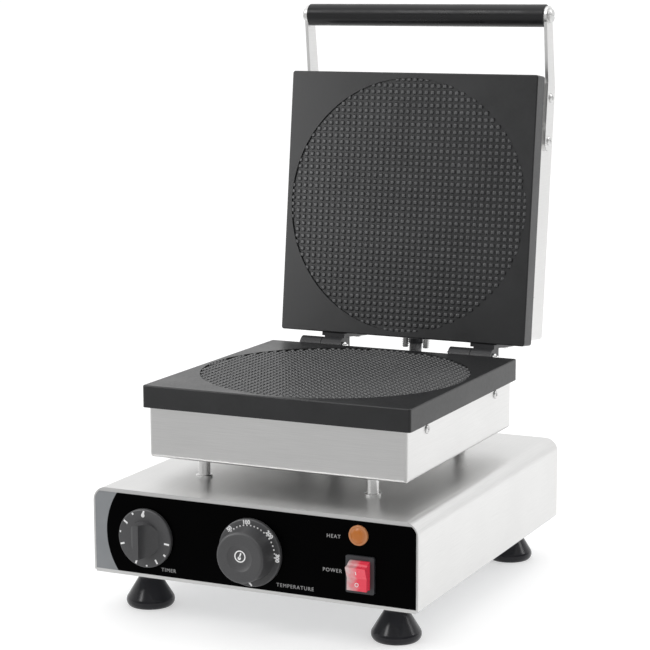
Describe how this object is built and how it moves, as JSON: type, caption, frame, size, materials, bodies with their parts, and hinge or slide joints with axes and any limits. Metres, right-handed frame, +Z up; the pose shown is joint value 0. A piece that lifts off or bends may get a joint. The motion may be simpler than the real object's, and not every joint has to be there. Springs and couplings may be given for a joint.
{
  "type": "waffle cone maker",
  "caption": "Countertop waffle cone baker with two hinged square grid plates, timer and thermostat dials, power switch, pilot lamp and a long handle.",
  "frame": {"origin": "on the floor under the feet, below the middle of the whole object with its lid open", "axes": "+Z up, -Y towards the front with the controls, +X to the right as seen from the front"},
  "size_m": [0.3, 0.4249, 0.5112],
  "materials": {
    "brushed_steel_sheet": "brushed stainless sheet",
    "galvanised_sheet": "zinc-coated sheet, matt",
    "bright_steel": "turned and polished stainless",
    "screw_steel": "plated steel, satin",
    "nonstick_cast_plate": "cast plate with a dark grey non-stick coating, satin",
    "black_casting": "black-coated casting, satin",
    "black_overlay": "smooth black printed film",
    "grey_overlay": "grey printed film",
    "black_rubber": "glossy moulded rubber",
    "knob_plastic": "moulded thermoset, satin",
    "switch_plastic": "moulded nylon",
    "red_lit_plastic": "translucent red, lit from inside",
    "amber_lens": "translucent amber",
    "grip_plastic": "moulded thermoset, satin",
    "lead_sleeve": "woven heat-proof sleeve",
    "heater_sheath": "heat-tinted steel sheath",
    "fibre_blanket": "ceramic fibre blanket",
    "copper_capillary": "drawn copper",
    "control_body": "moulded thermoset and ceramic"
  },
  "bodies": {
    "base": {"base_cover": "brushed_steel_sheet", "bottom_plate": "galvanised_sheet", "bottom_screws": "screw_steel", "capillary_tube": "copper_capillary", "control_overlay": "black_overlay", "control_screws": "screw_steel", "foot_front_left": "black_rubber", "foot_front_right": "black_rubber", "foot_rear_left": "black_rubber", "foot_rear_right": "black_rubber", "foot_screws": "screw_steel", "front_panel": "brushed_steel_sheet", "hinge_clips": "bright_steel", "hinge_pin_left": "bright_steel", "hinge_pin_right": "bright_steel", "lamp_barrel": "switch_plastic", "lamp_lens": "amber_lens", "lead_grommet": "black_rubber", "lid_lead": "lead_sleeve", "lower_casing": "brushed_steel_sheet", "lower_element": "heater_sheath", "lower_element_clamp": "galvanised_sheet", "lower_hinge_left": "black_casting", "lower_hinge_right": "black_casting", "lower_insulation": "fibre_blanket", "lower_plate": "nonstick_cast_plate", "lower_screws": "screw_steel", "overlay_strip": "grey_overlay", "post_bolts": "screw_steel", "posts": "bright_steel", "rear_panel": "brushed_steel_sheet", "supply_gland": "switch_plastic", "switch_housing": "switch_plastic", "terminal_block": "control_body", "thermostat_body": "control_body", "thermostat_bulb": "copper_capillary", "timer_body": "control_body", "wire_sleeve": "bright_steel"},
    "lid": {"arm_left": "bright_steel", "arm_right": "bright_steel", "arm_screws": "screw_steel", "handle_bolts": "screw_steel", "handle_grip": "grip_plastic", "handle_rod": "bright_steel", "lead_clamp": "switch_plastic", "lead_studs": "screw_steel", "lid_screws": "screw_steel", "upper_casing": "brushed_steel_sheet", "upper_element": "heater_sheath", "upper_element_clamp": "galvanised_sheet", "upper_hinge_left": "black_casting", "upper_hinge_right": "black_casting", "upper_insulation": "fibre_blanket", "upper_plate": "nonstick_cast_plate"},
    "timer_dial": {"timer_knob": "knob_plastic", "timer_shaft": "bright_steel"},
    "thermostat_dial": {"thermostat_knob": "knob_plastic", "thermostat_shaft": "bright_steel"},
    "power_switch": {"power_rocker": "red_lit_plastic"}
  },
  "joints": [
    {"name": "lid_hinge", "type": "hinge", "parent": "base", "child": "lid", "pos_m": [0, 0.11458, 0.1872], "axis": [1, 0, 0], "range_deg": [0, 96.7], "deforming": ["lid_lead"]},
    {"name": "timer_turn", "type": "hinge", "parent": "base", "child": "timer_dial", "pos_m": [-0.098, -0.19032, 0.07015], "axis": [0, 1, 0], "range_deg": [0, 254], "stiffness_Nm_per_rad": 0.002},
    {"name": "thermostat_turn", "type": "hinge", "parent": "base", "child": "thermostat_dial", "pos_m": [0.0012, -0.19032, 0.0692], "axis": [0, 1, 0], "range_deg": [-90, 140]},
    {"name": "rocker_tilt", "type": "hinge", "parent": "base", "child": "power_switch", "pos_m": [0.1004, -0.19132, 0.0622], "axis": [-1, 0, 0], "range_deg": [0, 20]}
  ]
}
